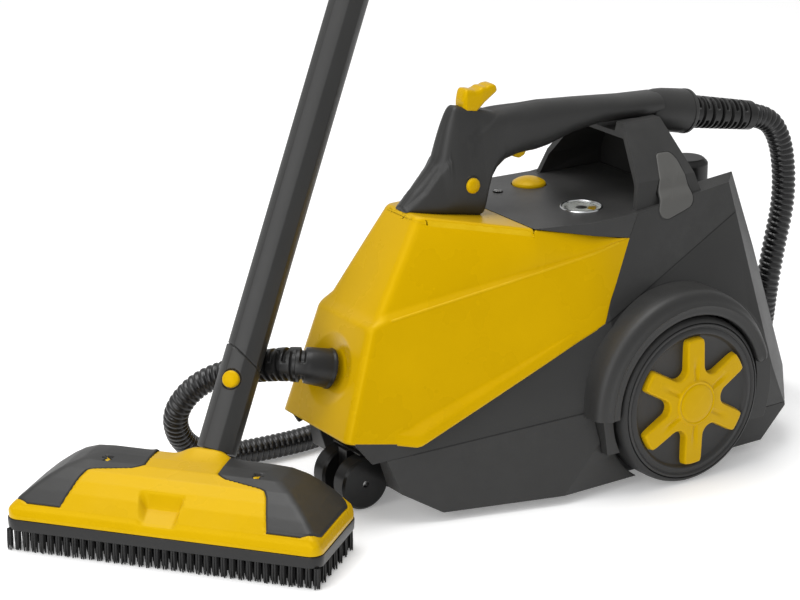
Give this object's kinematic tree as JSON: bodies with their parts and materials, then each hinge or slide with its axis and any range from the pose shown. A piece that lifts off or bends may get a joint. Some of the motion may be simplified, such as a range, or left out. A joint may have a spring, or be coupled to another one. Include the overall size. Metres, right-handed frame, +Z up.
{
  "type": "steam cleaner",
  "caption": "Wheeled canister steam cleaner with a docked steam gun on a corrugated hose, and a floor brush standing on an extension tube.",
  "frame": {"origin": "on the floor, under the middle of the whole set without its hose", "axes": "+Z up, -X is the front of the machine, where the caster is, and the rear axle lies along Y"},
  "size_m": [0.7819, 0.3551, 0.5785],
  "materials": {
    "yellow_shell": "gloss",
    "dark_shell": "fine texture",
    "deck_dark": "satin",
    "window_grey": "satin",
    "black_plastic": "satin",
    "hose_black": "satin",
    "tyre_rubber": "matte",
    "disc_dark": "satin",
    "gauge_silver": "polished",
    "dial_white": "printed",
    "clear_lens": "clear",
    "steel": "satin",
    "brass": "satin",
    "board_green": "satin",
    "bristle_black": "matte",
    "button_yellow": "gloss",
    "lamp_clear": "clear"
  },
  "bodies": {
    "root": {"front_shell": "yellow_shell", "upper_shell": "dark_shell", "lower_shell": "dark_shell", "base_tray": "dark_shell", "deck_panel": "deck_dark", "side_window_left": "window_grey", "side_window_right": "window_grey", "mains_inlet": "black_plastic", "ready_lamp": "lamp_clear", "axle_bushes": "black_plastic", "rear_axle": "steel", "gauge_case": "gauge_silver", "gauge_dial": "dial_white", "gauge_lens": "clear_lens", "power_switch": "black_plastic", "boiler": "steel", "filler_neck": "brass", "heating_element": "steel", "thermostat": "brass", "pressure_switch": "steel", "solenoid_valve": "brass", "steam_pipe": "brass", "control_board": "board_green", "caster_socket": "black_plastic", "hose": "hose_black", "front_sleeve": "hose_black", "hose_socket": "black_plastic"},
    "wheel_left": {"tyre_left": "tyre_rubber", "wheel_disc_left": "disc_dark", "star_cap_left": "yellow_shell"},
    "wheel_right": {"tyre_right": "tyre_rubber", "wheel_disc_right": "disc_dark", "star_cap_right": "yellow_shell"},
    "caster": {"caster_fork": "black_plastic", "caster_axle": "steel"},
    "caster_wheels": {"caster_wheels": "black_plastic"},
    "gauge_needle": {"gauge_needle": "black_plastic"},
    "power_button": {"power_button": "button_yellow"},
    "cap_core": {"cap_core": "brass"},
    "filler_cap": {"filler_cap": "black_plastic"},
    "gun": {"gun_shell_left": "dark_shell", "gun_shell_right": "dark_shell", "gun_collar": "dark_shell", "gun_sleeve": "hose_black", "gun_spout": "brass", "gun_pipe": "black_plastic"},
    "trigger": {"trigger": "button_yellow"},
    "steam_lever": {"steam_lever": "button_yellow"},
    "gun_button": {"gun_button": "button_yellow"},
    "brush": {"brush_bristles": "bristle_black", "brush_base": "dark_shell", "brush_housing": "yellow_shell", "clamp_pins": "steel", "neck_pin": "steel"},
    "clamp_left": {"clamp_left": "dark_shell"},
    "clamp_right": {"clamp_right": "dark_shell"},
    "neck": {"neck": "black_plastic"},
    "tube": {"tube_collar": "dark_shell", "extension_tube": "dark_shell"},
    "tube_button": {"tube_button": "button_yellow"}
  },
  "joints": [
    {"name": "wheel_left_spin", "type": "hinge", "parent": "root", "child": "wheel_left", "pos_m": [0.196, -0.1096, 0.075], "axis": [0, 1, 0], "continuous": true},
    {"name": "wheel_right_spin", "type": "hinge", "parent": "root", "child": "wheel_right", "pos_m": [0.196, 0.1164, 0.075], "axis": [0, 1, 0], "continuous": true},
    {"name": "caster_swivel", "type": "hinge", "parent": "root", "child": "caster", "pos_m": [-0.056, 0.0034, 0.055], "axis": [0, 0, 1], "continuous": true},
    {"name": "caster_roll", "type": "hinge", "parent": "caster", "child": "caster_wheels", "pos_m": [-0.072, 0.0034, 0.023], "axis": [0, 1, 0], "continuous": true},
    {"name": "needle_turn", "type": "hinge", "parent": "root", "child": "gauge_needle", "pos_m": [0.141, -0.0326, 0.231], "axis": [0, 0, -1], "range_deg": [0, 240]},
    {"name": "power_button_press", "type": "slide", "parent": "root", "child": "power_button", "axis": [0, 0, -1], "range_m": [0, 0.003], "stiffness_N_per_m": 600},
    {"name": "cap_lift", "type": "slide", "parent": "root", "child": "cap_core", "axis": [0, 0, 1], "range_m": [0, 0.02]},
    {"name": "cap_turn", "type": "hinge", "parent": "cap_core", "child": "filler_cap", "pos_m": [0.285, 0.0034, 0.236], "axis": [0, 0, 1], "continuous": true},
    {"name": "gun_lift", "type": "slide", "parent": "root", "child": "gun", "axis": [0, 0, 1], "range_m": [0, 0.12]},
    {"name": "trigger_pull", "type": "slide", "parent": "gun", "child": "trigger", "axis": [0, 0, 1], "range_m": [0, 0.005], "stiffness_N_per_m": 500},
    {"name": "lever_lift", "type": "hinge", "parent": "gun", "child": "steam_lever", "pos_m": [0.071, 0.0034, 0.334], "axis": [0, 1, 0], "range_deg": [0, 20]},
    {"name": "gun_button_press", "type": "slide", "parent": "gun", "child": "gun_button", "axis": [0, 1, 0], "range_m": [0, 0.003], "stiffness_N_per_m": 400},
    {"name": "brush_slide", "type": "slide", "parent": "root", "child": "brush", "axis": [-0.7749, -0.632, 0], "range_m": [0, 0.15]},
    {"name": "clamp_right_open", "type": "hinge", "parent": "brush", "child": "clamp_right", "pos_m": [-0.21827, -0.03574, 0.06], "axis": [-0.7749, -0.632, 0], "range_deg": [0, 18], "stiffness_Nm_per_rad": 0.4},
    {"name": "clamp_left_open", "type": "hinge", "parent": "brush", "child": "clamp_left", "pos_m": [-0.26693, 0.02394, 0.06], "axis": [0.7749, 0.632, 0], "range_deg": [0, 18], "stiffness_Nm_per_rad": 0.4},
    {"name": "neck_tilt", "type": "hinge", "parent": "brush", "child": "neck", "pos_m": [-0.20402, 0.01008, 0.056], "axis": [0.632, -0.7749, 0], "range_deg": [0, 40]},
    {"name": "tube_pull", "type": "slide", "parent": "neck", "child": "tube", "axis": [0.4502, 0.1832, 0.8739], "range_m": [0, 0.03]},
    {"name": "tube_button_press", "type": "slide", "parent": "tube", "child": "tube_button", "axis": [0.6842, 0.558, -0.4695], "range_m": [0, 0.002], "stiffness_N_per_m": 400}
  ]
}
